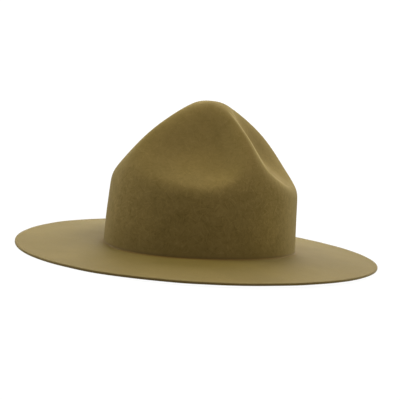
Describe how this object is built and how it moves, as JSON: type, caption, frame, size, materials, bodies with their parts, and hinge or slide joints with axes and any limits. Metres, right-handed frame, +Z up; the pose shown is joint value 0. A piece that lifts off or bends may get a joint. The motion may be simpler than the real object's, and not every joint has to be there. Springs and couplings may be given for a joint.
{
  "type": "campaign hat",
  "caption": "Wide-brimmed felt campaign hat: a tall crown pinched between dents to a rounded peak, on a nearly flat oval brim.",
  "frame": {"origin": "on the surface that the hat rests on, under the middle of the brim", "axes": "+Z up through the peak, -Y towards the front of the hat, +X towards the wearer's left"},
  "size_m": [0.3398, 0.3589, 0.1482],
  "materials": {
    "felt": "khaki-olive fur felt with a fine short nap"
  },
  "bodies": {
    "root": {"felt_body": "felt"}
  },
  "joints": []
}
